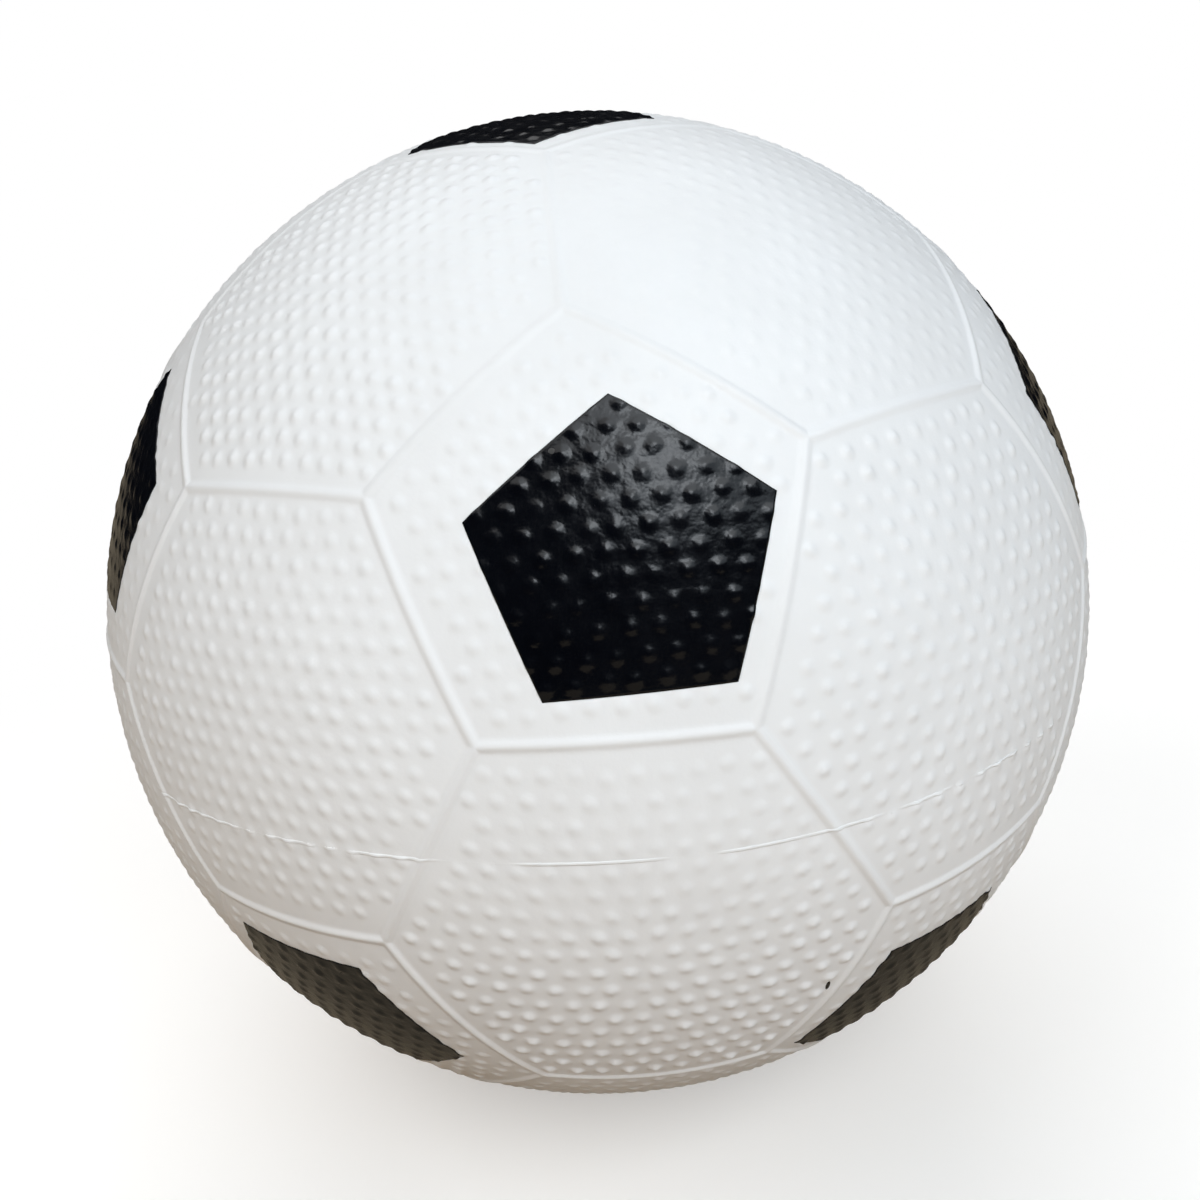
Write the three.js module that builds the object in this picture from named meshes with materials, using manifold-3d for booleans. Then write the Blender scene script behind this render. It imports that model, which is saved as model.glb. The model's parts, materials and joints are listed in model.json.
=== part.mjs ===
// An inflatable play ball: a one-piece moulded vinyl skin with raised ridges along the edges of a truncated
// icosahedron, twelve printed black pentagons, and a needle valve in the upper back.
// Millimetres, +Z up. The ball rests on its contact patch at the origin, and -Y is its front.

import * as THREE from 'three';
import { mergeVertices } from 'three/addons/utils/BufferGeometryUtils.js';
import Module from 'manifold-3d';

// Skin
const BALL_DIAMETER = 220;
const WALL = 1.2;
const RIDGE_WIDTH = 2.8;
const RIDGE_HEIGHT = 0.45;
const SHOULDER_WIDTH_SHARE = 0.5;
const SHOULDER_HEIGHT_SHARE = 0.75;
const CONTACT_DIAMETER = 22;

// Printed pentagons: films of ink that stop short of the moulded pentagons' ridges
const PRINT_INSET = 10.2;
const PRINT_GAP = 0.1;
const PRINT_THICKNESS = 0.2;

// Valve, along its own axis out of the ball's centre
const VALVE_LATITUDE = 52;
const VALVE_LONGITUDE = 90;
const PAD_DIAMETER = 18;
const PAD_RISE = 0.3;
const SEAT_DIAMETER = 26;
const SEAT_DEPTH = 1.4;
const HOUSING_DIAMETER = 12.4;
const HOUSING_LENGTH = 18;
const FLANGE_DIAMETER = 21;
const FLANGE_THICKNESS = 1.8;
const BORE_DIAMETER = 6;
const HEAD_DIAMETER = 9.2;
const HEAD_THICKNESS = 1.7;
const PLUG_LENGTH = 15;
const PLUG_TIP_ROUNDING = 1.2;
const NEEDLE_MOUTH_DIAMETER = 2.6;
const NEEDLE_MOUTH_DEPTH = 1.2;
const NEEDLE_HOLE_DIAMETER = 1.2;
const NEEDLE_HOLE_DEPTH = 11;
const VALVE_CLEARANCE = 0.3;

// Facets
const EDGE_STEPS = 4;
const FIELD_STEPS = 3;
const INNER_DETAIL = 6;
const ROUND_STEPS = 32;

// The twelve pentagons of the net. The mould was cut by eye, so some panels sit a little off the regular
// net, and the ink was printed with a hand jig, so each print sits a little off its panel. Both are in
// millimetres to the right and upwards.
const RING_LATITUDE = THREE.MathUtils.radToDeg(Math.atan(1 / 2));
const PENTAGONS = [
  { name: 'top', latitude: 90, longitude: -90, mould: [-0.5, 2.5], print: [-3, -7.5] },
  { name: 'front', latitude: RING_LATITUDE, longitude: -90, mould: [-3, 3], print: [5.5, -5] },
  { name: 'right', latitude: RING_LATITUDE, longitude: -18, mould: [0, 0], print: [6.5, -4.5] },
  { name: 'back_right', latitude: RING_LATITUDE, longitude: 54, mould: [0, 0], print: [2, -3] },
  { name: 'back_left', latitude: RING_LATITUDE, longitude: 126, mould: [0, 0], print: [-3, 2] },
  { name: 'left', latitude: RING_LATITUDE, longitude: 198, mould: [2.5, -1], print: [-3, 1] },
  { name: 'lower_right', latitude: -RING_LATITUDE, longitude: -54, mould: [0, -7.5], print: [-5, -3] },
  { name: 'lower_right_back', latitude: -RING_LATITUDE, longitude: 18, mould: [0, 0], print: [3, 3] },
  { name: 'lower_back', latitude: -RING_LATITUDE, longitude: 90, mould: [0, 0], print: [-2, -4] },
  { name: 'lower_left_back', latitude: -RING_LATITUDE, longitude: 162, mould: [0, 0], print: [4, 0] },
  { name: 'lower_left', latitude: -RING_LATITUDE, longitude: 234, mould: [0, 0], print: [-3, 2] },
  { name: 'bottom', latitude: -90, longitude: -90, mould: [0, 0], print: [0, 0] },
];

const VINYL_WHITE = { color: 0xeceff2, roughness: 0.42, metalness: 0 };
const INK_BLACK = { color: 0x121316, roughness: 0.38, metalness: 0 };
const HOUSING_WHITE = { color: 0xe2e4e4, roughness: 0.5, metalness: 0 };
const RUBBER_GREY = { color: 0xb9bab6, roughness: 0.7, metalness: 0 };

const wasm = await Module();
wasm.setup();

// Derived sizes
const ballRadius = BALL_DIAMETER / 2;
const innerRadius = ballRadius - WALL;
const printInnerRadius = ballRadius + PRINT_GAP;
const printOuterRadius = printInnerRadius + PRINT_THICKNESS;
const contactAngle = Math.asin(CONTACT_DIAMETER / 2 / printOuterRadius);
const contactCosine = Math.cos(contactAngle);
const centreHeight = printOuterRadius * contactCosine;

// A direction on the ball with its own right and upward bearings along the surface
function bearings({ latitude, longitude }) {
  const lat = THREE.MathUtils.degToRad(latitude);
  const lon = THREE.MathUtils.degToRad(longitude);
  return {
    out: new THREE.Vector3(Math.cos(lat) * Math.cos(lon), Math.cos(lat) * Math.sin(lon), Math.sin(lat)),
    right: new THREE.Vector3(-Math.sin(lon), Math.cos(lon), 0),
    up: new THREE.Vector3(-Math.sin(lat) * Math.cos(lon), -Math.sin(lat) * Math.sin(lon), Math.cos(lat)),
  };
}

// The direction reached by walking right and upwards over the surface
function walk({ out, right, up }, [acrossRight, acrossUp]) {
  return out
    .clone()
    .addScaledVector(right, acrossRight / ballRadius)
    .addScaledVector(up, acrossUp / ballRadius)
    .normalize();
}

// The direction a third of the way from one pentagon's middle to the next: a corner of the net
function netCorner(from, to) {
  return from.clone().multiplyScalar(2).add(to).normalize();
}

function arcPoint(a, b, share) {
  const weighted = b.clone().multiplyScalar(share);
  return a.clone().multiplyScalar(1 - share).add(weighted).normalize();
}

// Directions along a closed outline of great-circle arcs
function outlineRing(corners) {
  const ring = [];
  corners.forEach((corner, i) => {
    const next = corners[(i + 1) % corners.length];
    for (let step = 0; step < EDGE_STEPS; step += 1) {
      ring.push(arcPoint(corner, next, step / EDGE_STEPS));
    }
  });
  return ring;
}

// The corners of an outline drawn in by a width along the surface, each where two drawn-in sides meet
function drawnIn(corners, width) {
  const count = corners.length;
  return corners.map((corner, i) => {
    const before = corners[(i + count - 1) % count].clone().cross(corner).normalize();
    const after = corner.clone().cross(corners[(i + 1) % count]).normalize();
    const inward = Math.sin(width / ballRadius) / (1 + before.dot(after));
    const middle = before.add(after);
    const outward = Math.sqrt(1 - inward ** 2 * middle.lengthSq());
    return middle.multiplyScalar(inward).addScaledVector(corner, outward);
  });
}

// Directions at one angle from a middle, below the directions of an outline
function circleRing(middle, angle, outline) {
  return outline.map((direction) => {
    const aside = direction.clone().addScaledVector(middle, -direction.dot(middle)).normalize();
    return middle.clone().multiplyScalar(Math.cos(angle)).addScaledVector(aside, Math.sin(angle));
  });
}

// The point at a radius along a direction, pressed flat where the ball stands
function surfacePoint(direction, radius) {
  const pressed = Math.min(1, contactCosine / Math.max(-direction.z, contactCosine));
  return direction.clone().multiplyScalar(radius * pressed);
}

function ringAt(directions, radius) {
  return directions.map((direction) => surfacePoint(direction, radius));
}

// Triangles of a fan from a hub to a ring of points
function fan(hub, ring) {
  return ring.flatMap((point, i) => [hub, point, ring[(i + 1) % ring.length]]);
}

// Triangles between two rings of as many points, the first one on the inside
function band(inside, outside) {
  return inside.flatMap((point, i) => {
    const j = (i + 1) % inside.length;
    return [point, outside[i], outside[j], point, outside[j], inside[j]];
  });
}

function turnedOver(triangles) {
  const flipped = [];
  for (let i = 0; i < triangles.length; i += 3) {
    flipped.push(triangles[i], triangles[i + 2], triangles[i + 1]);
  }
  return flipped;
}

function geometryOf(triangles) {
  return new THREE.BufferGeometry().setFromPoints(triangles);
}

function merged(geometry) {
  const bare = geometry.clone();
  bare.deleteAttribute('normal');
  bare.deleteAttribute('uv');
  return mergeVertices(bare);
}

function solidOf(geometry) {
  const shared = merged(geometry);
  const index = Array.from(shared.index.array);
  const kept = [];
  for (let i = 0; i < index.length; i += 3) {
    const [a, b, c] = index.slice(i, i + 3);
    if (a !== b && b !== c && c !== a) {
      kept.push(a, b, c);
    }
  }
  const vertProperties = new Float32Array(shared.attributes.position.array);
  return new wasm.Manifold(new wasm.Mesh({ numProp: 3, vertProperties, triVerts: new Uint32Array(kept) }));
}

function geometryFromSolid(solid) {
  const mesh = solid.getMesh();
  const geometry = new THREE.BufferGeometry();
  geometry.setAttribute('position', new THREE.BufferAttribute(new Float32Array(mesh.vertProperties), 3));
  geometry.setIndex(new THREE.BufferAttribute(new Uint32Array(mesh.triVerts), 1));
  return geometry;
}

// A turned shape on the +Z axis from a profile of radius and height pairs, listed from its foot upwards
function turned(profile) {
  const points = profile.map(([radius, height]) => new THREE.Vector2(radius, height));
  return new THREE.LatheGeometry(points, ROUND_STEPS).rotateX(Math.PI / 2);
}

function meshOf(name, geometry, finish) {
  const shown = geometry.index ? geometry.toNonIndexed() : geometry;
  shown.computeVertexNormals();
  const mesh = new THREE.Mesh(shown, new THREE.MeshStandardMaterial(finish));
  mesh.name = name;
  return mesh;
}

// The net: each pentagon's regular place, the mould's place, the print's place and its neighbours
const net = PENTAGONS.map((pentagon) => {
  const regular = bearings(pentagon);
  const middle = walk(regular, pentagon.mould);
  const printMiddle = walk({ ...regular, out: middle }, pentagon.print);
  return { name: pentagon.name, regular, middle, printMiddle };
});
const touching = (a, b) => a !== b && a.regular.out.dot(b.regular.out) > 0;
const turnsLeft = (a, b, c) => a.clone().cross(b).dot(c) > 0;

// Neighbours of a pentagon in order to the left around it
function neighbours(pentagon) {
  const { right, up } = pentagon.regular;
  const angle = (other) => Math.atan2(other.regular.out.dot(up), other.regular.out.dot(right));
  return net.filter((other) => touching(pentagon, other)).sort((a, b) => angle(a) - angle(b));
}

const pentagonCorners = (pentagon) =>
  neighbours(pentagon).map((other) => netCorner(pentagon.middle, other.middle));

// The hexagons lie between three pentagons that touch each other
const hexagons = [];
net.forEach((a, i) => net.forEach((b, j) => net.forEach((c, k) => {
  const trio = i < j && i < k && touching(a, b) && touching(b, c) && touching(c, a);
  if (trio && turnsLeft(a.middle, b.middle, c.middle)) {
    const pairs = [[a, b], [b, a], [b, c], [c, b], [c, a], [a, c]];
    hexagons.push(pairs.map(([from, to]) => netCorner(from.middle, to.middle)));
  }
})));

// Angles from the middle of a regular pentagon: to its corner and its side, then to the print's
const regularCorner = netCorner(net[0].regular.out, net[1].regular.out).angleTo(net[0].regular.out);
const regularSide = Math.atan(Math.tan(regularCorner) * Math.cos(Math.PI / 5));
const printSide = regularSide - PRINT_INSET / ballRadius;
const printCorner = Math.atan(Math.tan(printSide) / Math.cos(Math.PI / 5));

// A print's outline and the circle inside it, as directions
function printRings(pentagon) {
  const middle = pentagon.printMiddle;
  const first = neighbours(pentagon)[0].regular.out;
  const aside = first.clone().addScaledVector(middle, -first.dot(middle)).normalize();
  const corners = [0, 1, 2, 3, 4].map((k) => {
    const turn = aside.clone().applyAxisAngle(middle, (k * 2 * Math.PI) / 5);
    return middle.clone().multiplyScalar(Math.cos(printCorner)).addScaledVector(turn, Math.sin(printCorner));
  });
  const outline = outlineRing(corners);
  return { outline, circle: circleRing(middle, contactAngle, outline) };
}

// From the field up to the crest of the ridges that frame a panel
function ridgeBands(corners, field) {
  const halfWidth = RIDGE_WIDTH / 2;
  const shoulderRadius = ballRadius + RIDGE_HEIGHT * SHOULDER_HEIGHT_SHARE;
  const foot = ringAt(outlineRing(drawnIn(corners, halfWidth)), ballRadius);
  const shoulder = ringAt(outlineRing(drawnIn(corners, halfWidth * SHOULDER_WIDTH_SHARE)), shoulderRadius);
  const crest = ringAt(outlineRing(corners), ballRadius + RIDGE_HEIGHT);
  return [...band(field, foot), ...band(foot, shoulder), ...band(shoulder, crest)];
}

function pentagonPanel(pentagon) {
  const { outline, circle } = printRings(pentagon);
  const inner = ringAt(circle, ballRadius);
  const edge = ringAt(outline, ballRadius);
  const hub = surfacePoint(pentagon.printMiddle, ballRadius);
  return [...fan(hub, inner), ...band(inner, edge), ...ridgeBands(pentagonCorners(pentagon), edge)];
}

function hexagonPanel(corners) {
  const middle = corners.reduce((sum, corner) => sum.add(corner), new THREE.Vector3()).normalize();
  const fieldRing = (step) => {
    const drawn = corners.map((corner) => arcPoint(middle, corner, step / FIELD_STEPS));
    return ringAt(outlineRing(drawn), ballRadius);
  };
  const triangles = fan(surfacePoint(middle, ballRadius), fieldRing(1));
  for (let step = 2; step < FIELD_STEPS; step += 1) {
    triangles.push(...band(fieldRing(step - 1), fieldRing(step)));
  }
  return [...triangles, ...ridgeBands(corners, fieldRing(FIELD_STEPS - 1))];
}

// Valve heights along its axis
const valveAxis = bearings({ latitude: VALVE_LATITUDE, longitude: VALVE_LONGITUDE }).out;
const valveTurn = new THREE.Quaternion().setFromUnitVectors(new THREE.Vector3(0, 0, 1), valveAxis);
const padTop = ballRadius + PAD_RISE;
const seatFace = innerRadius - SEAT_DEPTH;
const midWall = Math.sqrt((ballRadius - WALL / 2) ** 2 - (SEAT_DIAMETER / 2) ** 2);
const seatHole = HOUSING_DIAMETER / 2 + VALVE_CLEARANCE;
const flangeTop = seatFace - VALVE_CLEARANCE;
const headBore = HEAD_DIAMETER / 2 + VALVE_CLEARANCE;
const headUnderside = padTop - HEAD_THICKNESS;
const headSeat = headUnderside - VALVE_CLEARANCE;
const stemRadius = BORE_DIAMETER / 2 - VALVE_CLEARANCE;

function makeSkin() {
  const panels = [...net.map(pentagonPanel), ...hexagons.map(hexagonPanel)].flat();
  const hollow = new THREE.IcosahedronGeometry(1, INNER_DETAIL);
  const inside = hollow.attributes.position;
  const point = new THREE.Vector3();
  for (let i = 0; i < inside.count; i += 1) {
    point.fromBufferAttribute(inside, i).normalize();
    inside.setXYZ(i, ...surfacePoint(point, innerRadius).toArray());
  }
  const seat = turned([
    [0, seatFace],
    [SEAT_DIAMETER / 2, seatFace],
    [SEAT_DIAMETER / 2, midWall],
    [PAD_DIAMETER / 2, midWall],
    [PAD_DIAMETER / 2, padTop],
    [0, padTop],
  ]).applyQuaternion(valveTurn);
  const hole = turned([
    [0, flangeTop],
    [seatHole, flangeTop],
    [seatHole, padTop + WALL],
    [0, padTop + WALL],
  ]).applyQuaternion(valveTurn);
  const shell = solidOf(geometryOf(panels)).subtract(solidOf(hollow));
  const skin = shell.add(solidOf(seat)).subtract(solidOf(hole));
  return meshOf('skin', geometryFromSolid(skin), VINYL_WHITE);
}

function makePrint(pentagon) {
  const { outline, circle } = printRings(pentagon);
  const sheet = (radius) => {
    const hub = surfacePoint(pentagon.printMiddle, radius);
    const inner = ringAt(circle, radius);
    return [...fan(hub, inner), ...band(inner, ringAt(outline, radius))];
  };
  const rim = band(ringAt(outline, printOuterRadius), ringAt(outline, printInnerRadius));
  const film = [...sheet(printOuterRadius), ...rim, ...turnedOver(sheet(printInnerRadius))];
  return meshOf(`black_pentagon_${pentagon.name}`, geometryOf(film), INK_BLACK);
}

function makeHousing() {
  const foot = padTop - HOUSING_LENGTH;
  const neck = HOUSING_DIAMETER / 2;
  const profile = [
    [BORE_DIAMETER / 2, foot],
    [neck, foot],
    [neck, flangeTop - FLANGE_THICKNESS],
    [FLANGE_DIAMETER / 2, flangeTop - FLANGE_THICKNESS],
    [FLANGE_DIAMETER / 2, flangeTop],
    [neck, flangeTop],
    [neck, padTop],
    [headBore, padTop],
    [headBore, headSeat],
    [BORE_DIAMETER / 2, headSeat],
    [BORE_DIAMETER / 2, foot],
  ];
  return meshOf('valve_housing', turned(profile), HOUSING_WHITE);
}

function makePlug() {
  const tip = padTop - PLUG_LENGTH;
  const profile = [
    [0, tip],
    [stemRadius - PLUG_TIP_ROUNDING, tip],
    [stemRadius, tip + PLUG_TIP_ROUNDING],
    [stemRadius, headUnderside],
    [HEAD_DIAMETER / 2, headUnderside],
    [HEAD_DIAMETER / 2, padTop],
    [NEEDLE_MOUTH_DIAMETER / 2, padTop],
    [NEEDLE_HOLE_DIAMETER / 2, padTop - NEEDLE_MOUTH_DEPTH],
    [NEEDLE_HOLE_DIAMETER / 2, padTop - NEEDLE_HOLE_DEPTH],
    [0, padTop - NEEDLE_HOLE_DEPTH],
  ];
  return meshOf('valve_plug', turned(profile), RUBBER_GREY);
}

const valve = new THREE.Group();
valve.quaternion.copy(valveTurn);
valve.add(makeHousing(), makePlug());

const ball = new THREE.Group();
ball.position.z = centreHeight;
ball.add(makeSkin(), ...net.map(makePrint), valve);

export default ball;
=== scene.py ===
"""The moulded vinyl ball: pebbled skin, printed black pentagons, air valve, and the studio that shows them.

Lengths are in metres, in the part's own frame: +Z is up and -Y is the front.
"""

import json
import logging
import math
from dataclasses import dataclass, field
from enum import Enum
from functools import cache
from typing import Any

import bpy
import numpy as np
from mathutils import Matrix

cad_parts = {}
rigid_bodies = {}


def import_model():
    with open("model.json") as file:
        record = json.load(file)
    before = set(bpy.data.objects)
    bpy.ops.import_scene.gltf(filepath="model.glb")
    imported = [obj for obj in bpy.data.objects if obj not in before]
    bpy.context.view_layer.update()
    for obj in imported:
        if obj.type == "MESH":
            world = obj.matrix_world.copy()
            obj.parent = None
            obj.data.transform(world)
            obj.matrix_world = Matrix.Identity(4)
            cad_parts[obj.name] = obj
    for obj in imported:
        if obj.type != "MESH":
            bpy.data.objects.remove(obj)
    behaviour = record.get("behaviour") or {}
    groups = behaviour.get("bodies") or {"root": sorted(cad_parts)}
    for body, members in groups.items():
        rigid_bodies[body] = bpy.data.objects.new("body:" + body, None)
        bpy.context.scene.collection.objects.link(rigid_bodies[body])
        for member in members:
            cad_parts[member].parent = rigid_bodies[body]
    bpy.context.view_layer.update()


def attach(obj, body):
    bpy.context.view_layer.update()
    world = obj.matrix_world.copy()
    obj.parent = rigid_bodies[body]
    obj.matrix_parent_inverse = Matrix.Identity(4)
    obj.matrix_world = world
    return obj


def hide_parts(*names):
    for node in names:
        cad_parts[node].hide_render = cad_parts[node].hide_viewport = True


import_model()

LOG = logging.getLogger("ball")
Array = np.ndarray
Colour = tuple[float, float, float, float]
WHITE: Colour = (1.0, 1.0, 1.0, 1.0)
FULL_TURN = 2.0 * math.pi
# Least divisor, for lengths and sines that may be 0.
TINY = 1e-9


class Body(Enum):
    """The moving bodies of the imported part."""

    BALL = "ball"
    PLUG = "plug"


class Slot(Enum):
    """The record's material slots."""

    WHITE_VINYL = "white_vinyl"
    BLACK_INK = "black_ink"
    VALVE_VINYL = "valve_vinyl"
    VALVE_RUBBER = "valve_rubber"


def unit(vectors: Array) -> Array:
    """Scales vectors along the last axis to length one."""
    return vectors / np.linalg.norm(vectors, axis=-1, keepdims=True)


def smoothstep(low: float, high: float, values: Array) -> Array:
    """Rises smoothly from 0 at low to 1 at high.

    Args:
        low: Value below which the result is 0.
        high: Value above which the result is 1.
        values: Values to map.

    Returns:
        The cubic step 3t^2 - 2t^3 of each value's place t between low and high.
    """
    t = np.clip((values - low) / (high - low), 0.0, 1.0)
    return t * t * (3.0 - 2.0 * t)


def spaced(count: int, fine_share: float, fine_count: int) -> Array:
    """Places from 0 to 1 in even steps, the last of them closing up on 1 as a square does on 0.

    Args:
        count: Number of steps in all.
        fine_share: Share of the length, at its end, that takes the closing steps.
        fine_count: Number of closing steps.

    Returns:
        The count + 1 places.
    """
    wide = np.linspace(0.0, 1.0 - fine_share, count - fine_count + 1)
    fine = 1.0 - fine_share * np.linspace(1.0, 0.0, fine_count + 1) ** 2
    return np.concatenate((wide, fine[1:]))


def bearings(latitude: float, longitude: float) -> tuple[Array, Array, Array]:
    """Directions at a place on the ball.

    Args:
        latitude: Degrees above the ball's equator.
        longitude: Degrees round the upright axis from +X.

    Returns:
        The unit vectors outwards, to the east and to the north.
    """
    lat, lon = math.radians(latitude), math.radians(longitude)
    out = np.array((math.cos(lat) * math.cos(lon), math.cos(lat) * math.sin(lon), math.sin(lat)))
    east = np.array((-math.sin(lon), math.cos(lon), 0.0))
    return out, east, np.cross(out, east)


def edge_normals(corners: Array) -> Array:
    """Unit normals of the great circles through each edge of a polygon on the sphere, pointing inwards."""
    return unit(np.cross(corners, np.roll(corners, -1, axis=0)))


def angle_from(axis: Array, directions: Array) -> Array:
    """Angle of each direction from an axis, in radians."""
    return np.arccos(np.clip(directions @ axis, -1.0, 1.0))


def around(turn: Array, first: Array, second: Array) -> Array:
    """One axis turned towards another by each angle: cos(turn) first + sin(turn) second."""
    return np.cos(turn)[:, None] * first + np.sin(turn)[:, None] * second


def looped(ring: Array) -> Array:
    """A ring of numbers that ends on the one it starts with."""
    return np.append(ring, ring[0])


def link(name: str, data: bpy.types.ID) -> bpy.types.Object:
    """Makes an object of this data and links it to the scene."""
    made = bpy.data.objects.new(name, data)
    bpy.context.scene.collection.objects.link(made)
    return made


@dataclass(frozen=True)
class Pentagon:
    """One pentagon of the net: where it belongs, and how far its mould and its print sit from there."""

    name: str
    latitude: float
    longitude: float
    mould_shift: tuple[float, float] = (0.0, 0.0)
    print_shift: tuple[float, float] = (0.0, 0.0)


# Height over the ball's middle, in radii, from which east is no longer a safe direction.
NEAR_POLE = 0.97


@dataclass(frozen=True)
class Panel:
    """A polygon on the ball, as directions from the ball's middle: its own middle, and its corners anticlockwise."""

    name: str
    middle: Array
    corners: Array

    def inside_by(self, directions: Array) -> Array:
        """Angle from each direction to the panel's nearest edge, positive inside."""
        return np.arcsin(np.clip(directions @ edge_normals(self.corners).T, -1.0, 1.0)).min(axis=-1)

    def row_axes(self) -> tuple[Array, Array]:
        """East and north at the panel's middle, along which its rows of pimples run and stack."""
        if abs(self.middle[2]) > NEAR_POLE:
            east = unit(np.array((1.0, 0.0, 0.0)) - self.middle[0] * self.middle)
        else:
            east = unit(np.cross((0.0, 0.0, 1.0), self.middle))
        return east, np.cross(self.middle, east)


# Degrees above or below the equator of the net's two rings of pentagons.
RING = math.degrees(math.atan(0.5))
# Cosine of the angle between neighbouring pentagons, and how near to it counts.
NEIGHBOUR_COSINE = 1.0 / math.sqrt(5.0)
COSINE_SLACK = 0.05
# The bands of five hexagons downwards, told apart by their heights in these steps to the radius.
BANDS = ("upper", "upper_middle", "lower_middle", "lower")
BAND_STEPS = 3.0
PENTAGONS = (
    Pentagon("top", 90.0, -90.0, (-0.0005, 0.0025), (-0.003, -0.0075)),
    Pentagon("front", RING, -90.0, (-0.003, 0.003), (0.0055, -0.005)),
    Pentagon("right", RING, -18.0, (0.0, 0.0), (0.0065, -0.0045)),
    Pentagon("back_right", RING, 54.0, (0.0, 0.0), (0.002, -0.003)),
    Pentagon("back_left", RING, 126.0, (0.0, 0.0), (-0.003, 0.002)),
    Pentagon("left", RING, 198.0, (0.0025, -0.001), (-0.003, 0.001)),
    Pentagon("lower_right", -RING, -54.0, (0.0, -0.0075), (-0.005, -0.003)),
    Pentagon("lower_right_back", -RING, 18.0, (0.0, 0.0), (0.003, 0.003)),
    Pentagon("lower_back", -RING, 90.0, (0.0, 0.0), (-0.002, -0.004)),
    Pentagon("lower_left_back", -RING, 162.0, (0.0, 0.0), (0.004, 0.0)),
    Pentagon("lower_left", -RING, 234.0, (0.0, 0.0), (-0.003, 0.002)),
    Pentagon("bottom", -90.0, -90.0, (0.0, 0.0), (0.0, 0.0)),
)


def true_middles() -> Array:
    """Middles of the twelve pentagons in a true net."""
    return np.array([bearings(p.latitude, p.longitude)[0] for p in PENTAGONS])


@dataclass
class Net:
    """The moulded net of twelve pentagons and twenty hexagons, slightly out of true as the mould is."""

    radius: float = 0.110
    print_inset: float = 0.0102
    middles: Array = field(init=False)
    neighbours: list[list[int]] = field(init=False)

    def __post_init__(self) -> None:
        """Places the pentagons' middles and lists each one's five neighbours anticlockwise."""
        true = true_middles()
        moved = [self.walk(start, p, p.mould_shift) for start, p in zip(true, PENTAGONS, strict=True)]
        self.middles = np.array(moved)
        self.neighbours = []
        for index, pentagon in enumerate(PENTAGONS):
            near = np.flatnonzero(np.abs(true @ true[index] - NEIGHBOUR_COSINE) < COSINE_SLACK)
            _, east, north = bearings(pentagon.latitude, pentagon.longitude)
            turn = np.arctan2(true[near] @ north, true[near] @ east)
            self.neighbours.append([int(n) for n in near[np.argsort(turn)]])

    def walk(self, start: Array, pentagon: Pentagon, shift: tuple[float, float]) -> Array:
        """Moves a direction over the ball by a shift to the pentagon's east and north.

        Args:
            start: Direction to start from.
            pentagon: Pentagon whose bearings give east and north.
            shift: Lengths to the east and to the north in metres.

        Returns:
            The direction arrived at.
        """
        _, east, north = bearings(pentagon.latitude, pentagon.longitude)
        return unit(start + (east * shift[0] + north * shift[1]) / self.radius)

    def corner(self, near: int, far: int) -> Array:
        """The net's corner a third of the way from one pentagon's middle to another's."""
        return unit(2.0 * self.middles[near] + self.middles[far])

    def panels(self) -> list[Panel]:
        """All 32 fields.

        Returns:
            The pentagons in the order of PENTAGONS, then the hexagons from band to band downwards.
        """
        found = []
        for index, pentagon in enumerate(PENTAGONS):
            corners = np.array([self.corner(index, n) for n in self.neighbours[index]])
            found.append(Panel(f"skin_pentagon_{pentagon.name}", self.middles[index], corners))
        count = len(PENTAGONS)
        triples = [
            (a, b, c)
            for a in range(count) for b in self.neighbours[a] for c in self.neighbours[a]
            if a < b < c and c in self.neighbours[b]
        ]
        hexagons = []
        for a, b, c in triples:
            middle = unit(self.middles[a] + self.middles[b] + self.middles[c])
            if np.dot(np.cross(self.middles[b] - self.middles[a], self.middles[c] - self.middles[a]), middle) < 0.0:
                b, c = c, b
            pairs = ((a, b), (b, a), (b, c), (c, b), (c, a), (a, c))
            hexagons.append((middle, np.array([self.corner(*pair) for pair in pairs])))
        hexagons.sort(key=lambda h: (-round(h[0][2] * BAND_STEPS), math.atan2(h[0][1], h[0][0])))
        for index, (middle, corners) in enumerate(hexagons):
            found.append(Panel(f"skin_hexagon_{BANDS[index // 5]}_{index % 5 + 1}", middle, corners))
        return found

    def prints(self) -> list[Panel]:
        """The twelve printed pentagons.

        Returns:
            Regular pentagons, each drawn in from its moulded one and set off its middle.
        """
        first, second, third = true_middles()[:3]
        far, side = unit(2.0 * first + second), unit(2.0 * first + third)
        reach = math.acos(float(np.dot(first, unit(far + side)))) - self.print_inset / self.radius
        corner_reach = math.atan(math.tan(reach) / math.cos(math.pi / 5.0))
        found = []
        for index, pentagon in enumerate(PENTAGONS):
            middle = self.walk(self.middles[index], pentagon, pentagon.print_shift)
            towards = self.middles[self.neighbours[index][0]]
            along = unit(towards - middle * np.dot(towards, middle))
            across = np.cross(middle, along)
            ring = around(np.arange(5) * FULL_TURN / 5.0, along, across)
            corners = math.cos(corner_reach) * middle + math.sin(corner_reach) * ring
            found.append(Panel(f"ink_pentagon_{pentagon.name}", middle, corners))
        return found


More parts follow.
